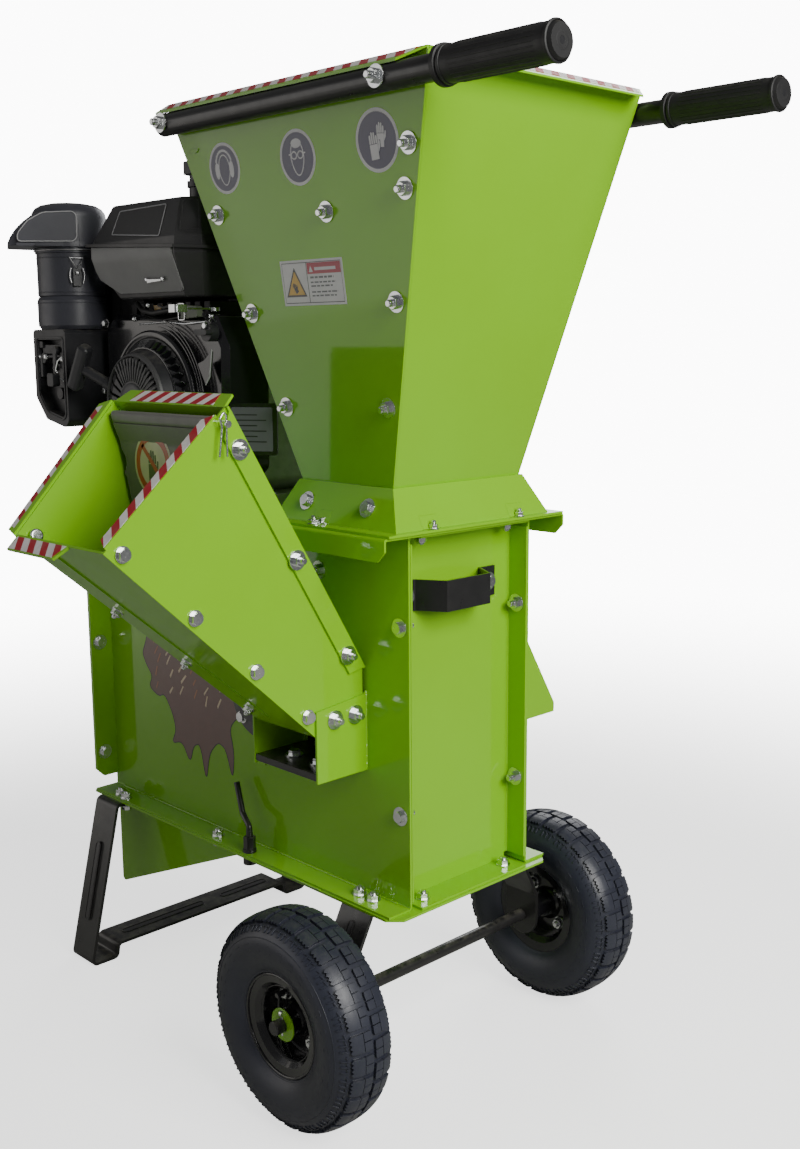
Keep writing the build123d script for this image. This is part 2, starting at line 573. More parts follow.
def inward_normal(start, end):
    """Unit vector square to a chute line in (y, z), pointing into the channel."""
    line = Vector(0, end[0] - start[0], end[1] - start[1]).normalized()
    return Vector(0, -line.Z, line.Y)


def chute_sheet(start, end):
    """Corners of a chute sheet between the two side panels, and its inward normal."""
    inside = inward_normal(start, end)
    mid = Vector(0, (MOUTH_TOP[0] + CHUTE_FOOT[0]) / 2, (MOUTH_TOP[1] + CHUTE_FOOT[1]) / 2)
    if (mid - Vector(0, *start)).dot(inside) < 0:
        inside = inside * -1
    gap = 0.05
    near = CHUTE_NEAR_X - SHEET - gap
    far = [(chute_far_x(z) + SHEET + gap, y, z) for y, z in (end, start)]
    return [(near, *start), (near, *end), *far], inside


def chute_top_panel():
    """Sloping chute cover that folds down over the upright panel."""
    quad, inside = chute_sheet(MOUTH_TOP, CHUTE_HEAD)
    drop = inside * SHEET
    body = slab(quad, tuple(drop * -1))
    line = Vector(0, CHUTE_HEAD[0] - MOUTH_TOP[0], CHUTE_HEAD[1] - MOUTH_TOP[1]).normalized()
    head = Vector(0, *MOUTH_TOP)
    tail = Vector(0, *CHUTE_HEAD)
    top_face = inside * -SHEET
    ledge = [head + top_face, tail + top_face, tail, head]
    ledge = [(CHUTE_NEAR_X - SHEET - 0.05, p.Y, p.Z) for p in ledge]
    body = body + slab(ledge, (2 * SHEET + 0.05, 0, 0))
    far_head = chute_far_x(MOUTH_TOP[1]) - 0.05
    far_ledge = [(chute_far_x(p.Z) + SHEET + 0.06, p.Y, p.Z) for p in (head + top_face, tail + top_face, tail, head)]
    body = body + slab(far_ledge, (-SHEET - 3, 0, 0))
    flange = [head + top_face + line * 2, tail + top_face, tail + inside * 21 - line * 9, head + inside * 21 + line * 26]
    fold = slab([(CHUTE_NEAR_X + 0.05, p.Y, p.Z) for p in flange], (SHEET, 0, 0))
    lip_dir = Vector(0, MOUTH_TOP[0] - MOUTH_FOOT[0], MOUTH_TOP[1] - MOUTH_FOOT[1]).normalized()
    base = head + inside * -1.0
    near_x, far_x = CHUTE_NEAR_X - SHEET, far_head + SHEET
    quad_lip = [(near_x, base.Y, base.Z), (far_x, base.Y, base.Z)]
    tip = base + lip_dir * (CHUTE_LIP + 2)
    quad_lip += [(far_x + 14, tip.Y, tip.Z), (near_x - 4, tip.Y, tip.Z)]
    mouth_in = Vector(0, -lip_dir.Z, lip_dir.Y) * SHEET
    lip = slab(quad_lip, tuple(mouth_in * -1))
    cover = body + fold + lip
    hinge = rod((-300, FLAP_Y, FLAP_Z), (10, FLAP_Y, FLAP_Z), FLAP_ROD_R + SHAFT_GAP)
    return drilled(cover - hinge, CHUTE_COVER_HOLES)


def chute_bottom_panel():
    """Sloping chute floor with side flanges up the panels and a lip at the mouth."""
    quad, inside = chute_sheet(MOUTH_FOOT, CHUTE_FOOT)
    body = slab(quad, tuple(inside * SHEET))
    line = Vector(0, CHUTE_FOOT[0] - MOUTH_FOOT[0], CHUTE_FOOT[1] - MOUTH_FOOT[1]).normalized()
    foot = Vector(0, *MOUTH_FOOT)
    tail = Vector(0, *CHUTE_FOOT)
    ear = [foot + line * 10, tail - line * 2, tail - line * 10 + inside * 24, foot + line * 24 + inside * 24]
    near = slab([(CHUTE_NEAR_X - SHEET - 0.05, p.Y, p.Z) for p in ear], (-SHEET, 0, 0))
    far = slab([(chute_far_x(p.Z) + SHEET + 0.05, p.Y, p.Z) for p in ear], (SHEET, 0, 0))
    lip_dir = Vector(0, MOUTH_FOOT[0] - MOUTH_TOP[0], MOUTH_FOOT[1] - MOUTH_TOP[1]).normalized()
    near_x = CHUTE_NEAR_X - SHEET - 62
    far_x = chute_far_x(MOUTH_FOOT[1]) + SHEET + 1.0
    base = foot + inside * 1.5
    tip = foot + lip_dir * (CHUTE_LIP + 1)
    quad_lip = [(near_x, base.Y, base.Z), (far_x, base.Y, base.Z), (far_x + 2, tip.Y, tip.Z),
                (near_x - 12, tip.Y, tip.Z)]
    mouth_in = Vector(0, -lip_dir.Z, lip_dir.Y) * SHEET
    lip = slab(quad_lip, tuple(mouth_in))
    floor = body + near + far + lip
    return drilled(floor, [((CHUTE_NEAR_X - SHEET, at[1], at[2]), out, SHEET) for at, out, grip in CHUTE_NEAR_HOLES]
                   + CHUTE_FAR_HOLES)


def chute_throat():
    """Welded frame round the opening in the side panel, which holds the chute and the anvil."""
    y0, y1 = CHUTE_FOOT[0], -HALF_WIDTH
    near_x = CHUTE_NEAR_X + 0.05
    near = plate_yz([(y0, 401), (y1, 401), (y1, 500), (y1 - 4, 496), (y0, 488)], near_x, near_x + SHEET)
    far = block(-132, -129, y0, y1, 401, 479)
    back = block(-130, near_x + 1, y1 - 12, y1, 401, 404)
    rail_near = block(CHUTE_NEAR_X - 18, near_x + 1, y0 + 2, y1, 401, 404)
    rail_far = block(-130, -112, y0 + 2, y1, 401, 404)
    return drilled(near + far + back + rail_near + rail_far, THROAT_HOLES + ANVIL_HOLES)


def anvil_plate():
    """Hard black plate that branches rest on while they are cut."""
    plate = block(-128.9, CHUTE_NEAR_X - 0.1, CHUTE_FOOT[0] + 1, -99.5, 404, 412)
    plate = plate - block(-130, -125.9, -HALF_WIDTH - 0.1, -90, 400, 420)
    plate = plate - block(-17.1, -10, -HALF_WIDTH - 0.1, -90, 400, 420)
    return drilled(plate, ANVIL_HOLES)


def chute_flap():
    """Rubber curtain hung on the hinge rod inside the mouth."""
    half = 2.5
    near = CHUTE_NEAR_X - 2 * SHEET - 2.0
    clear = SHEET + 5.0
    z0, z1 = FLAP_Z - FLAP_LENGTH, FLAP_Z
    outline = [(near, z1), (near, z0 + 10), (near - 10, z0), (chute_far_x(z0) + clear + 10, z0),
               (chute_far_x(z0 + 10) + clear, z0 + 10), (chute_far_x(z1) + clear, z1)]
    sheet = plate_xz(outline, FLAP_Y - half, FLAP_Y + half)
    notch_z = FLAP_Z - 52
    notch = rod((chute_far_x(notch_z) + clear - 6, FLAP_Y - 4, notch_z),
                (chute_far_x(notch_z) + clear - 6, FLAP_Y + 4, notch_z), 14)
    sheet = sheet - notch
    sleeve = rod((chute_far_x(FLAP_Z) + clear + 3, FLAP_Y, FLAP_Z), (near, FLAP_Y, FLAP_Z), 7.5)
    flap = sheet + sleeve
    for x0 in (-190, -120, -60):
        flap = flap - block(x0, x0 + 26, FLAP_Y - 9, FLAP_Y + 9, FLAP_Z - 9, FLAP_Z + 9)
    bore = rod((-300, FLAP_Y, FLAP_Z), (50, FLAP_Y, FLAP_Z), FLAP_ROD_R + SHAFT_GAP)
    return flap - bore


def flap_rod():
    """Hinge rod of the flap, with a flat head at the far end."""
    far = chute_far_x(FLAP_Z)
    bar = rod((far - 6, FLAP_Y, FLAP_Z), (CHUTE_NEAR_X + 12, FLAP_Y, FLAP_Z), FLAP_ROD_R)
    head = rod((far - 9, FLAP_Y, FLAP_Z), (far - 6, FLAP_Y, FLAP_Z), 8)
    pin_x = CHUTE_NEAR_X + 8
    return bar + head - rod((pin_x, FLAP_Y, FLAP_Z - 6), (pin_x, FLAP_Y, FLAP_Z + 6), 1.25)


def flap_clip():
    """Spring clip through the end of the hinge rod."""
    x = CHUTE_NEAR_X + 8
    leg = rod((x, FLAP_Y, FLAP_Z + 9), (x, FLAP_Y, FLAP_Z - 34), 1.2)
    path = FilletPolyline((x, FLAP_Y, FLAP_Z + 9), (x, FLAP_Y - 3, FLAP_Z + 13), (x, FLAP_Y - 8, FLAP_Z + 6),
                          (x, FLAP_Y - 5.8, FLAP_Z - 4), (x, FLAP_Y - 10, FLAP_Z - 34), radius=2)
    bow = sweep(Plane(origin=path @ 0, z_dir=path % 0) * Circle(1.2), path=path)
    return leg + bow


# ---------------------------------------------------------------- frame and wheels
def stand():
    """One flat bar bent into two legs, two feet and a low crossbar."""
    half = STAND_STRIP / 2
    top = BASE_Z - SHEET - half
    side = [(-112, top), (-149, top), (-204, half), (-161, half), (-158, 22.0)]
    path = side + [(-y, z) for y, z in side[::-1]]
    strip = bent_strip(path, STAND_STRIP, STAND_X[0], STAND_X[1], 7)
    holes = [((at[0], at[1], BASE_Z), out, 14) for at, out, grip in FLANGE_HOLES if at[0] < -500]
    return drilled(strip, holes)


def wheel_bracket():
    """Flat bar from the base plate down to the axle, feed side."""
    half = STAND_STRIP / 2
    top = BASE_Z - SHEET - half
    path = [(-103, top), (-133, top), (-170, 166), (-170, 96)]
    strip = bent_strip(path, STAND_STRIP, -26.5, 26.5, 7)
    keep = rod((0, -190, AXLE_Z), (0, -90, AXLE_Z), 26.5) + block(-27, 27, -190, -90, AXLE_Z, 245)
    strip = strip & keep
    strip = strip - rod((0, -190, AXLE_Z), (0, -150, AXLE_Z), AXLE_R + 0.02)
    holes = [((at[0], at[1], BASE_Z), out, 14) for at, out, grip in FLANGE_HOLES if abs(at[0]) < 30]
    return drilled(strip, holes)


def axle():
    """Round axle with cross holes for the cotter pins."""
    bar = rod((0, -AXLE_HALF, AXLE_Z), (0, AXLE_HALF, AXLE_Z), AXLE_R)
    bar = chamfer(bar.edges().filter_by(GeomType.CIRCLE), 1.2)
    for side in (-1, 1):
        y = side * (AXLE_HALF - 3.4)
        bar = bar - rod((0, y, AXLE_Z - 12), (0, y, AXLE_Z + 12), 1.85)
    return bar


def rim(side):
    """Pressed steel rim with its hub and wheel bearings."""
    y = side * WHEEL_Y
    t = 2.0
    channel = [(RIM_R, -30), (RIM_R, -28), (52, -26), (46, -20), (46, 20), (52, 26), (RIM_R, 28), (RIM_R, 30),
               (50.5, 28), (44, 21), (44, -21), (50.5, -28)]
    disc = [(44.5, -3), (44.5, -1), (22, -1), (22, -3)]
    hub = [(AXLE_R + SHAFT_GAP, -42), (17.5, -42), (17.5, -12), (20, -8), (23, -5), (23, 2), (20, 8),
           (17.5, 12), (17.5, 22), (AXLE_R + SHAFT_GAP, 22)]
    parts = []
    for outline in (channel, disc, hub):
        parts.append(turned_y([(r, y + side * v) for r, v in outline], 0, AXLE_Z))
    wheel = parts[0] + parts[1] + parts[2]
    for k in range(4):
        angle = math.radians(45 + 90 * k)
        x, z = 33 * math.cos(angle), AXLE_Z + 33 * math.sin(angle)
        low, high = y - side * 7.0, y + side * 6.5
        wheel = wheel + rod((x, low, z), (x, high, z), M8_R)
        wheel = wheel + place(hex_solid(6.0), (x, y - side, z), (0, side, 0))
    stem = rod((0, y + side * 6, AXLE_Z + 41.5), (0, y + side * 34, AXLE_Z + 39), 3.2)
    return wheel + stem


def tyre(side):
    """Pneumatic block-pattern tyre, hollow inside."""
    y = side * WHEEL_Y
    outer = [(62.8, -27.8), (62.8, -30.2), (68, -34.5), (78, -39.5), (90, TYRE_HALF * -1), (103, -41), (114, -36.5),
             (122, -29), (127.5, -19), (WHEEL_R, -8), (WHEEL_R, 8), (127.5, 19), (122, 29), (114, 36.5),
             (103, 41), (90, TYRE_HALF), (78, 39.5), (68, 34.5), (62.8, 30.2), (62.8, 27.8)]
    inner = [(54, 20), (66, 26), (78, 31.5), (90, 34), (101, 33), (110, 28.5), (117, 20), (120, 8), (120, -8),
             (117, -20), (110, -28.5), (101, -33), (90, -34), (78, -31.5), (66, -26), (54, -20)]
    seat = [(52.6, 25.9), (46.3, 19.9), (46.3, 15)]
    seat_back = [(46.3, -15), (46.3, -19.9), (52.6, -25.9)]
    outline = outer + seat + inner + seat_back
    return turned_y([(r, y + side * v) for r, v in outline], 0, AXLE_Z)


def clamp_lever():
    """Tall coupling nut with a bent bar that turns it."""
    x, y = LEVER_SPOT
    z = FLANGE_TOP + BODY_GAP
    stem = rod((x, y, z), (x, y, z + 4), 9)
    nut = Pos(x, y, z + 4) * hex_solid(17, 8.2)
    small = rod((x, y, z + 21), (x, y, z + 29), 4.5)
    path = FilletPolyline((x, y, z + 26), (x, y, z + 35), (x - 20, y + 5, z + 47), (x - 38, y + 10, z + 84), radius=6)
    bar = sweep(Plane(origin=path @ 0, z_dir=path % 0) * Circle(4), path=path)
    tail = rod((x, y, z), (x, y, BASE_Z - SHEET - 10), 5.0)
    cap = rod((x, y, BASE_Z - SHEET - 10), (x, y, BASE_Z - SHEET - BODY_GAP), 9)
    return stem + nut + small + bar + tail + cap


# ---------------------------------------------------------------- rotor
def rotor_disc():
    """Heavy disc with knife slots and a back plate joined by the hub."""
    disc = turned_y([(ROTOR_SHAFT_R, -92), (ROTOR_R, -92), (ROTOR_R, -80), (42, -80), (42, -52), (ROTOR_SHAFT_R, -52)],
                    ROTOR_X, ROTOR_Z)
    for k in range(2):
        slot = block(62, 184, -95, -75, 4, 22)
        slot = Pos(ROTOR_X, 0, ROTOR_Z) * Rot(0, -180 * k - 20, 0) * slot
        disc = disc - slot
    return disc


def rotor_paddles():
    """Four fan paddles with a rear spider, which shred leaves and throw the chips."""
    ring = turned_y([(ROTOR_SHAFT_R, 40), (60, 40), (60, 50), (ROTOR_SHAFT_R, 50)], ROTOR_X, ROTOR_Z)
    wheel = ring
    for k in range(4):
        arm = block(20, ROTOR_R - 8, -79.9, 50, -3, 3) - block(19, 120, -90, 30, -6, 6)
        foot = block(120, ROTOR_R - 8, -79.9, -75, -3, 14)
        wheel = wheel + Pos(ROTOR_X, 0, ROTOR_Z) * Rot(0, 90 * k + 25, 0) * (arm + foot)
    return wheel


def chipper_knives():
    """Two hardened knives bolted on the face of the disc, one behind each slot."""
    knives = Part()
    for k in range(2):
        outline = [(-1.0, -97.5), (34, -97.5), (34, -92.05), (-6, -92.05)]
        bar = slab([(66, y, -z) for z, y in outline], (112, 0, 0))
        for x in (86, 122, 158):
            bar = bar - rod((x, -100, -20), (x, -90, -20), 4.2)
            bar = bar - rod((x, -98, -20), (x, -95.4, -20), 8.0)
        knives = knives + Pos(ROTOR_X, 0, ROTOR_Z) * Rot(0, -180 * k - 20, 0) * bar
    return knives


def rotor_shaft():
    """Stepped shaft through both bearings to the pulley."""
    shaft = rod((ROTOR_X, -133, ROTOR_Z), (ROTOR_X, 156, ROTOR_Z), ROTOR_SHAFT_R)
    shaft = shaft - block(ROTOR_X - 4, ROTOR_X + 4, 127, 157, ROTOR_Z + 11, ROTOR_Z + 16)
    return chamfer(shaft.edges().filter_by(GeomType.CIRCLE).sort_by(Axis.Y)[0], 1.5)


def rotor_bearings():
    """Flanged ball bearing unit outside each side panel."""
    unit = turned_y([(ROTOR_SHAFT_R + SHAFT_GAP, -105), (54, -105), (54, -113), (34, -113), (32, -115), (29, -126),
                     (ROTOR_SHAFT_R + SHAFT_GAP, -126)], ROTOR_X, ROTOR_Z)
    units = unit + mirrored(unit)
    return drilled(units, BEARING_HOLES)


def groove_pulley(x, z, radius, bore):
    """One-groove V pulley."""
    top = 3.0
    deep = radius - 8.0
    outline = [(bore, BELT_Y - 13), (28, BELT_Y - 13), (28, BELT_Y - 10), (radius + top, BELT_Y - 10),
               (radius + top, BELT_Y - 7.4), (deep, BELT_Y - 3.6), (deep, BELT_Y + 3.6),
               (radius + top, BELT_Y + 7.4), (radius + top, BELT_Y + 10), (bore, BELT_Y + 10)]
    wheel = turned_y(outline, x, z)
    if radius > 60:
        for k in range(5):
            angle = math.radians(72 * k + 18)
            spot = (x + 50 * math.cos(angle), z + 50 * math.sin(angle))
            wheel = wheel - rod((spot[0], BELT_Y - 12, spot[1]), (spot[0], BELT_Y + 12, spot[1]), 13)
    return wheel


def belt_loop(near, far, y0, y1):
    """Solid between the outer tangent lines of two circles given as (x, z, radius)."""
    gap = math.hypot(far[0] - near[0], far[1] - near[1])
    heading = math.atan2(far[1] - near[1], far[0] - near[0])
    lean = math.acos((near[2] - far[2]) / gap)
    corners = []
    for x, z, radius, sign in ((*near, 1), (*near, -1), (*far, -1), (*far, 1)):
        angle = heading + sign * lean
        corners.append((x + radius * math.cos(angle), z + radius * math.sin(angle)))
    body = plate_xz(corners, y0, y1)
    for x, z, radius in (near, far):
        body = body + rod((x, y0, z), (x, y1, z), radius)
    return body


def drive_belt():
    """V belt round the two pulleys, just clear of their grooves."""
    rotor = (ROTOR_X, ROTOR_Z, ROTOR_PULLEY_R + 2)
    crank = (CRANK_X, CRANK_Z, CRANK_PULLEY_R + 2)
    outer = belt_loop(rotor, crank, BELT_Y - BELT_HALF, BELT_Y + BELT_HALF)
    inner = belt_loop((ROTOR_X, ROTOR_Z, ROTOR_PULLEY_R - 5), (CRANK_X, CRANK_Z, CRANK_PULLEY_R - 5),
                      BELT_Y - BELT_HALF - 1, BELT_Y + BELT_HALF + 1)
    return outer - inner


def belt_guard():
    """Closed cover over the belt and both pulleys on the drive side."""
    y0, y1 = HALF_WIDTH + 0.1, 170.0
    rotor_out = (ROTOR_X, ROTOR_Z, ROTOR_PULLEY_R + 18)
    crank_out = (CRANK_X, CRANK_Z, CRANK_PULLEY_R + 20)
    shell = belt_loop(rotor_out, crank_out, y0, y1)
    rotor_in = (ROTOR_X, ROTOR_Z, rotor_out[2] - 2)
    crank_in = (CRANK_X, CRANK_Z, crank_out[2] - 2)
    shell = shell - belt_loop(rotor_in, crank_in, y0 - 1, y1 - 2)
    flange = belt_loop((ROTOR_X, ROTOR_Z, rotor_out[2] + 14), (CRANK_X, CRANK_Z, crank_out[2] + 1), y0, y0 + 2)
    flange = flange - belt_loop(rotor_in, crank_in, y0 - 1, y0 + 3)
    flange = flange & block(-400, 0, y0 - 1, y0 + 3, 300, ROOF_Z - 14)
    guard = shell + flange
    for k in range(7):
        slot = block(ROTOR_X - 55, ROTOR_X + 55, y1 - 4, y1 + 1, ROTOR_Z - 38 + 12 * k, ROTOR_Z - 33 + 12 * k)
        guard = guard - slot
    return guard


def side_hood():
    """Wedge-shaped deflector hood on the drive side."""
    x0, x1, t = -98.0, 14.0, 2.5
    outline = [(HALF_WIDTH + 0.05, 612), (216, 426), (216, 413), (HALF_WIDTH + 0.05, 413)]
    hood = plate_yz(outline, x0, x1)
    cavity = plate_yz([(HALF_WIDTH - 1, 608), (213, 424), (213, 410), (HALF_WIDTH - 1, 410)], x0 + t, x1 - t)
    ear = block(x1 - 1, x1 + 16, HALF_WIDTH + 0.05, HALF_WIDTH + 2.5, 430, 560)
    return hood - cavity + ear


# ---------------------------------------------------------------- engine
def crankcase():
    """Crankcase, leaning finned cylinder, head and rocker cover in one casting."""
    case = block(-446, -258, -82, 76, 712, 918)
    case = soften(case, Axis.Y, 22)
    foot = block(-472, -232, -78, 72, ROOF_Z + SHEET, 714)
    barrel = block(-150, -60, -46, 54, -48, 48)
    for k in range(7):
        barrel = barrel + block(-146 + 13 * k, -142 + 13 * k, -56, 64, -60, 60)
    head = soften(block(-196, -150, -54, 62, -56, 56), Axis.X, 12)
    cover = soften(block(-222, -196, -40, 48, -42, 42), Axis.X, 10)
    tilt = Pos(CRANK_X, 0, CRANK_Z + 4) * Rot(0, 14, 0) * (barrel + head + cover)
    engine = case + foot + tilt
    seal = rod((CRANK_X, 75, CRANK_Z), (CRANK_X, 86, CRANK_Z), 34)
    nose = rod((CRANK_X, -90, CRANK_Z), (CRANK_X, -81, CRANK_Z), 30)
    filler = rod((-300, 50, 735), (-274, 78, 758), 11) + rod((-276, 76, 756), (-268, 85, 763), 14)
    engine = engine + seal + nose + filler
    bore = rod((CRANK_X, -95, CRANK_Z), (CRANK_X, 90, CRANK_Z), CRANK_R + SHAFT_GAP)
    return drilled(engine - bore, [((x, y, 714), (0, 0, 1), 20) for x, y in ENGINE_FEET])


def crankshaft():
    """Crankshaft with the flywheel fan at the starter end."""
    shaft = rod((CRANK_X, -142, CRANK_Z), (CRANK_X, 158, CRANK_Z), CRANK_R)
    wheel = turned_y([(CRANK_R - 1, -112), (80, -112), (80, -98), (CRANK_R - 1, -98)], CRANK_X, CRANK_Z)
    for k in range(12):
        blade = block(42, 78, -130, -111.9, -1.5, 1.5)
        wheel = wheel + Pos(CRANK_X, 0, CRANK_Z) * Rot(0, 30 * k, 0) * blade
    nut = rod((CRANK_X, -150, CRANK_Z), (CRANK_X, -142, CRANK_Z), 11)
    return shaft + wheel + nut


def blower_housing():
    """Pressed cover that guides the fan's air over the cylinder."""
    y0, y1, t = -160.0, -82.1, 2.5
    outline = [(-470, 800), (-430, 745), (-398, 726), (-248, 726), (-216, 752), (-212, 905), (-236, 944),
               (-466, 948), (-486, 930), (-486, 830)]
    shell = plate_xz(outline, y0 + 10, y1)
    shell = soften(shell, Axis.Y, 9)
    front = shell.faces().sort_by(Axis.Y)[0]
    shell = chamfer(front.edges(), 8)
    ring = rod((CRANK_X, y0 - 3, CRANK_Z), (CRANK_X, y0 + 12, CRANK_Z), 92)
    shell = shell + ring
    inner = plate_xz([(-462, 804), (-426, 754), (-396, 732), (-252, 732), (-222, 756), (-218, 902),
                      (-240, 938), (-462, 942), (-480, 926), (-480, 834)], y0 + 14, y1 + 1)
    opening = rod((CRANK_X, y0 - 4, CRANK_Z), (CRANK_X, y0 + 20, CRANK_Z), 84)
    hub_clear = rod((CRANK_X, y0 + 5, CRANK_Z), (CRANK_X, y1 + 1, CRANK_Z), 86)
    return shell - inner - opening - hub_clear


def recoil_cover():
    """Starter cover: a slotted dome with the rope outlet."""
    y_back, y_rim, y_face = -163.0, -178.0, -196.0
    cup = turned_y([(0, y_face), (48, y_face), (62, y_face + 5), (70, y_rim), (70, y_back - 2), (83.8, y_back - 2),
                    (83.8, y_back + 1), (66, y_back + 1), (66, y_rim + 2), (59, y_face + 8), (46, y_face + 3),
                    (0, y_face + 3)], CRANK_X, CRANK_Z)
    for k in range(24):
        angle = 15 * k
        if angle in (150, 165, 180):
            continue
        slot = block(30, 60, y_face - 3, y_face + 12, -1.8, 1.8)
        cup = cup - Pos(CRANK_X, 0, CRANK_Z) * Rot(0, angle, 0) * slot
    pull = Vector(*PULL).normalized()
    start = Vector(*ROPE_EXIT) - pull * 6
    outlet = rod(tuple(start), tuple(Vector(*ROPE_EXIT) + pull * 12), 8.5)
    core = rod((CRANK_X, y_face + 3, CRANK_Z), (CRANK_X, y_back, CRANK_Z), 65)
    cup = cup + (outlet - core)
    channel = rod(tuple(start - pull * 30), tuple(Vector(*ROPE_EXIT) + pull * 14), 2.6)
    return cup - channel


def starter_grip():
    """T grip, neck and the straight part of the starter rope."""
    pull = Vector(*PULL).normalized()
    across = Vector(0.527, 0, 0.85) - pull * Vector(0.527, 0, 0.85).dot(pull)
    exit_at = Vector(*ROPE_EXIT)
    seat = exit_at + pull * GRIP_SEAT
    rope = rod(tuple(exit_at - pull * 92), tuple(seat + pull * 8), 2.0)
    neck = rod(tuple(seat), tuple(seat + pull * 34), 7.0)
    middle = seat + pull * 41
    bar = Part() + Box(18, 20, 66)
    bar = fillet(bar.edges(), 6)
    frame = Plane(origin=tuple(middle), x_dir=tuple(pull), z_dir=tuple(across))
    return rope + neck + frame.location * bar


def fuel_tank():
    """Faceted fuel tank with a sloping seam flange."""
    outline = [(-470, -175), (-276, -175), (-250, -150), (-250, 44), (-470, 44)]
    def level(z_low, z_high, inset_low, inset_high):
        faces = []
        for z, inset in ((z_low, inset_low), (z_high, inset_high)):
            pts = [(-470 + inset, -175 + inset * 0.5, z), (-276 - inset * 0.2, -175 + inset * 0.5, z),
                   (-252 - inset * 0.4, -150 + inset * 0.3, z), (-252 - inset * 0.4, 44 - inset, z),
                   (-470 + inset, 44 - inset, z)]
            faces.append(Face(Wire.make_polygon(pts, close=True)))
        return Part() + loft(faces, ruled=True)
    lower = level(966, 1020, 40, 0)
    middle = level(1020, 1040, 0, 3)
    upper = level(1040, 1088, 3, 34)
    tank = lower + middle + upper
    tank = fillet(tank.edges().filter_by(GeomType.LINE), 5)
    seam = plate_xz([(-476, 1036), (-246, 1024), (-246, 1028), (-476, 1040)], -180, 49)
    seam = seam & plate_xy([(-476, -179), (-274, -179), (-246.5, -152), (-246.5, 48), (-476, 48)], 1000, 1060)
    tank = tank + seam
    neck = rod((CAP_X, CAP_Y, 1080), (CAP_X, CAP_Y, 1102), 17)
    bore = rod((CAP_X, CAP_Y, 1075), (CAP_X, CAP_Y, 1103), 14)
    bracket = block(-430, -402, -70, 60, 918.05, 970) + block(-310, -282, -70, 60, 918.05, 970)
    return tank + neck - bore + bracket


def fuel_cap():
    """Tall lobed fuel cap."""
    base = rod((CAP_X, CAP_Y, 1102.4), (CAP_X, CAP_Y, 1110), 19)
    knob = rod((CAP_X, CAP_Y, 1109), (CAP_X, CAP_Y, 1118), 16)
    head = Pos(CAP_X, CAP_Y, 1118) * extrude(RegularPolygon(24, 6), 16)
    head = fillet(head.edges().filter_by(Axis.Z), 5)
    head = chamfer(head.faces().sort_by(Axis.Z)[-1].edges(), 1.5)
    plug = rod((CAP_X, CAP_Y, 1092), (CAP_X, CAP_Y, 1103), 13.4)
    return base + knob + head + plug


def air_cleaner():
    """Upright canister of the air cleaner, with its lower ring and latch seat."""
    body = turned_z([(0, 974), (46, 974), (46, 1030), (47.5, 1031), (47.5, 1037), (0, 1037)], CLEANER_X, CLEANER_Y)
    step = turned_z([(0, 929.1), (44, 929.1), (47.5, 934), (47.5, 968), (44, 974.5), (0, 974.5)], CLEANER_X, CLEANER_Y)
    return body + step


def air_cleaner_hood():
    """Rain hood of the air cleaner with its square intake snout."""
    dome = turned_z([(0, 1037.1), (50, 1037.1), (50, 1084), (44, 1093), (26, 1098), (0, 1098.5)],
                    CLEANER_X, CLEANER_Y)
    snout = soften(Part() + Box(84, 104, 42), Axis.Z, 12)
    snout = chamfer(snout.faces().sort_by(Axis.Z)[-1].edges(), 4)
    frame = Plane(origin=(CLEANER_X - 0.46 * 42, CLEANER_Y - 0.89 * 42, 1062), x_dir=(-0.46, -0.89, 0))
    snout = frame.location * snout
    mouth = frame.location * Pos(30, 0, -14) * Box(14, 80, 20)
    return dome + snout - mouth


def intake_cover():
    """Moulded cover over the carburettor, under the air cleaner."""
    x0, x1, y0, y1 = -586.0, -500.0, -203.0, -125.0
    outline = [(x0, 929), (x0, 836), (x0 + 26, 806), (x1 - 10, 796), (x1, 806), (x1, 929)]
    cover = plate_xz(outline, y0, y1)
    cover = soften(cover, Axis.Y, 7)
    pocket = plate_xz([(x0 + 12, 915), (x0 + 12, 842), (x0 + 32, 818), (x1 - 14, 810), (x1 - 8, 816),
                       (x1 - 8, 915)], y0 - 1, y0 + 14)
    cover = cover - pocket
    duct = block(x0 + 20, x1 - 20, y1, -56, 840, 905)
    bosses = rod((x0 + 22, y0 + 2, 890), (x0 + 22, y0 + 15, 890), 7) + rod((x0 + 60, y0 + 3, 842), (x0 + 60, y0 + 15, 842), 8)
    rail = block(x0 + 18, x1 - 16, y0 + 4, y0 + 15, 896, 908)
    return cover + duct + bosses + rail


def muffler():
    """Box muffler with a heat shield behind the cylinder."""
    body = soften(block(-560, -462, 82, 172, 850, 950), Axis.X, 22)
    pipe = rod((-520, 62.1, 880), (-520, 84, 880), 16)
    tail = rod((-560, 140, 872), (-578, 140, 866), 9)
    shield = block(-566, -458, 174, 176, 858, 944) + block(-540, -536, 170, 175, 895, 905)
    shield = shield + block(-486, -482, 170, 175, 895, 905)
    return body + pipe + tail + shield


def throttle_lever():
    """Speed lever on top of the blower housing."""
    hub = rod((-262, -128, 948.4), (-262, -128, 953), 8)
    arm = block(-266, -258, -176, -126, 950, 952.5)
    knob = soften(block(-271, -253, -192, -172, 946.5, 956), Axis.Z, 4)
    return hub + arm + knob


def choke_lever():
    """Choke lever on the face of the intake cover."""
    hub = rod((-526, -206, 900), (-526, -199.4, 900), 6)
    arm = plate_xz([(-530, 902), (-522, 902), (-524, 868), (-530, 868)], -206, -203.4)
    knob = soften(block(-534, -518, -214, -203.4, 852, 870), Axis.Y, 4)
    return hub + arm + knob


def stop_switch():
    """Turning stop switch on the blower housing."""
    base = rod((-232, -163, 922), (-232, -150.6, 922), 11)
    bow = block(-245, -219, -172, -162, 918.5, 925.5)
    bow = soften(bow, Axis.Y, 3)
    return base + bow


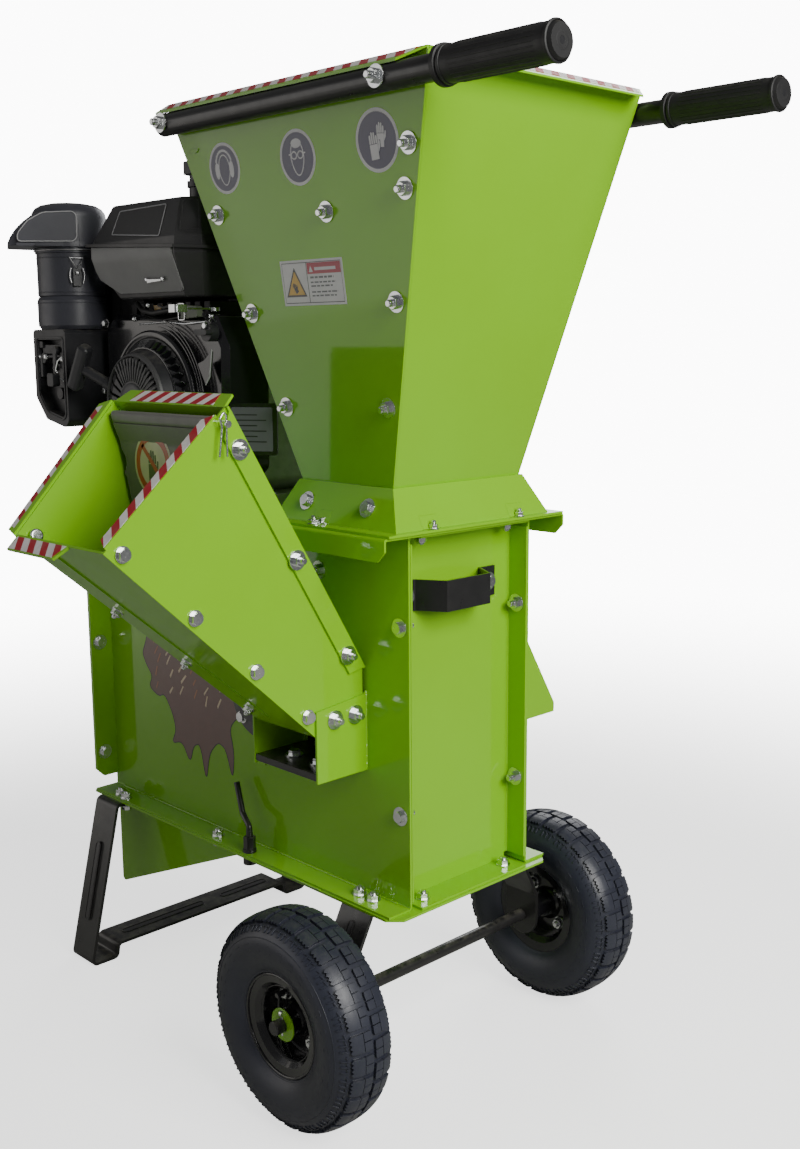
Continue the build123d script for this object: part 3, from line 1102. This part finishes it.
def cleaner_latch():
    """Sprung latch that holds the cleaner canister."""
    out = Vector(0.967, -0.255, 0)
    side = Vector(0.255, 0.967, 0)
    frame = Plane(origin=(CLEANER_X + out.X * 48.4, CLEANER_Y + out.Y * 48.4, 1003), x_dir=tuple(out), z_dir=(0, 0, 1))
    strap = Box(2.4, 13, 34)
    pivot = Pos(2.2, 0, -18) * Rot(90, 0, 0) * Cylinder(3.2, 17)
    hook = Pos(2, 0, 18) * Box(4.5, 15, 5)
    strap = Pos(1.4, 0, 0) * strap
    return frame.location * (strap + pivot + hook)


# ---------------------------------------------------------------- fastener groups
def placed(holes, near, far):
    """One fastener for each position."""
    bolts = []
    for at, out, grip in holes:
        bolts.append(place(fastener(near, far, grip), at, out))
    return bolts


def hopper_bolts():
    """Fasteners of the hopper walls, the collar and the handle tubes."""
    bolts = placed(HOPPER_HOLES + BRACE_HOLES, NUT, BUTTON)
    bolts += placed(TUBE_HOLES, NUT, BUTTON)
    bolts += placed(COLLAR_HOLES, HEAD, BUTTON)
    return Compound(children=[solid for bolt in bolts for solid in bolt.solids()])


def panel_bolts():
    """Fasteners of the housing panels, the chute, the bearings and the carry handle."""
    bolts = placed(END_HOLES, HEAD, NUT)
    bolts += placed(SIDE_HOLES, NUT, BUTTON)
    bolts += placed(BACK_HOLES, HEAD, NUT)
    bolts += placed(ROOF_HOLES, HEAD, SHORT_NUT)
    bolts += placed(CHUTE_NEAR_HOLES, SMALL_HEAD, SHORT_NUT)
    bolts += placed(CHUTE_FAR_HOLES, SHORT_NUT, BUTTON)
    bolts += placed(CHUTE_COVER_HOLES, NUT, BUTTON)
    bolts += placed(THROAT_HOLES, NUT, BUTTON)
    bolts += placed(ANVIL_HOLES, HEAD, SHORT_NUT)
    bolts += placed(CARRY_HOLES, HEAD, SHORT_NUT)
    bolts += placed(BEARING_HOLES, SMALL_HEAD, BUTTON)
    return Compound(children=[solid for bolt in bolts for solid in bolt.solids()])


def frame_bolts():
    """Fasteners of the base flanges, the stand, the wheel brackets, the engine and the axle."""
    bolts = []
    for at, out, grip in FLANGE_HOLES:
        strip = STAND_STRIP if at[0] < -500 or abs(at[0]) < 30 else 0
        bolts += placed([(at, out, grip + strip)], SHORT_NUT, SMALL_HEAD)
    bolts += placed([((x, y, 714), (0, 0, 1), 714 - ROOF_Z) for x, y in ENGINE_FEET], HEAD, SHORT_NUT)
    for side in (-1, 1):
        y_hub = side * (WHEEL_Y + 22 + BODY_GAP)
        washer = turned_y([(AXLE_R + SHAFT_GAP / 2, y_hub), (15, y_hub), (15, y_hub + side * 2),
                           (AXLE_R + SHAFT_GAP / 2, y_hub + side * 2)], 0, AXLE_Z)
        bolts.append(washer)
        pin_y = side * (AXLE_HALF - 3.4)
        pin = rod((0, pin_y, AXLE_Z - 13), (0, pin_y, AXLE_Z + 12), 1.8)
        eye = rod((-2, pin_y, AXLE_Z + 14), (2, pin_y, AXLE_Z + 14), 4)
        bolts.append(pin + eye)
        y_in = side * (172.3)
        spacer = turned_y([(AXLE_R + SHAFT_GAP / 2, y_in), (13, y_in), (13, side * (WHEEL_Y - 42 - BODY_GAP)),
                           (AXLE_R + SHAFT_GAP / 2, side * (WHEEL_Y - 42 - BODY_GAP))], 0, AXLE_Z)
        bolts.append(spacer)
    return Compound(children=[solid for bolt in bolts for solid in bolt.solids()])


# ---------------------------------------------------------------- assembly
def both_sides(part):
    """Two separate solids, one on each side of the middle plane."""
    return Compound(children=[*part.solids(), *mirrored(part).solids()])


def build_parts():
    """Every sub-part by node name, in the layout frame."""
    feed_wall = hopper_wall_feed()
    return {
        "feed_side_panel": feed_side_panel(),
        "drive_side_panel": drive_side_panel(),
        "wheel_end_panel": wheel_end_panel(),
        "engine_end_panel": engine_end_panel(),
        "base_plate": base_plate(),
        "discharge_spout": discharge_spout(),
        "top_plate": top_plate(),
        "hopper_collar": hopper_collar(),
        "hopper_wall_feed": feed_wall,
        "hopper_wall_drive": mirrored(feed_wall),
        "hopper_wall_wheel": hopper_wall_x(hopper_wheel_x, 1),
        "hopper_wall_engine": hopper_wall_x(hopper_engine_x, -1),
        "handle_tubes": both_sides(handle_tube()),
        "handle_grips": both_sides(handle_grip()),
        "carry_handle": carry_handle(),
        "chute_near_panel": chute_near_panel(),
        "chute_far_panel": chute_far_panel(),
        "chute_top_panel": chute_top_panel(),
        "chute_bottom_panel": chute_bottom_panel(),
        "chute_throat": chute_throat(),
        "anvil_plate": anvil_plate(),
        "chute_flap": chute_flap(),
        "flap_rod": flap_rod(),
        "flap_clip": flap_clip(),
        "stand": stand(),
        "wheel_brackets": both_sides(wheel_bracket()),
        "axle": axle(),
        "tyre_feed": tyre(-1),
        "tyre_drive": tyre(1),
        "rim_feed": rim(-1),
        "rim_drive": rim(1),
        "clamp_lever": clamp_lever(),
        "rotor_disc": rotor_disc(),
        "rotor_shaft": rotor_shaft(),
        "chipper_knives": chipper_knives(),
        "rotor_paddles": rotor_paddles(),
        "rotor_bearings": rotor_bearings(),
        "rotor_pulley": groove_pulley(ROTOR_X, ROTOR_Z, ROTOR_PULLEY_R, ROTOR_SHAFT_R),
        "engine_pulley": groove_pulley(CRANK_X, CRANK_Z, CRANK_PULLEY_R, CRANK_R),
        "drive_belt": drive_belt(),
        "belt_guard": belt_guard(),
        "side_hood": side_hood(),
        "crankcase": crankcase(),
        "crankshaft": crankshaft(),
        "blower_housing": blower_housing(),
        "recoil_cover": recoil_cover(),
        "starter_grip": starter_grip(),
        "fuel_tank": fuel_tank(),
        "fuel_cap": fuel_cap(),
        "air_cleaner": air_cleaner(),
        "air_cleaner_hood": air_cleaner_hood(),
        "intake_cover": intake_cover(),
        "muffler": muffler(),
        "throttle_lever": throttle_lever(),
        "choke_lever": choke_lever(),
        "stop_switch": stop_switch(),
        "cleaner_latch": cleaner_latch(),
        "hopper_bolts": hopper_bolts(),
        "panel_bolts": panel_bolts(),
        "frame_bolts": frame_bolts(),
    }


def centring(parts):
    """Move that puts the origin at the bottom centre of the whole machine's box."""
    boxes = [shape.bounding_box() for shape in parts.values()]
    middle_x = (min(box.min.X for box in boxes) + max(box.max.X for box in boxes)) / 2
    middle_y = (min(box.min.Y for box in boxes) + max(box.max.Y for box in boxes)) / 2
    return (-middle_x, -middle_y, -min(box.min.Z for box in boxes))


def main():
    """Build everything, centre it, and write one file for each sub-part."""
    os.makedirs("parts", exist_ok=True)
    parts = build_parts()
    move = centring(parts)
    print("moved by", [round(value, 3) for value in move])
    for name, shape in parts.items():
        export_step(Pos(*move) * shape, f"parts/{name}.step")


main()
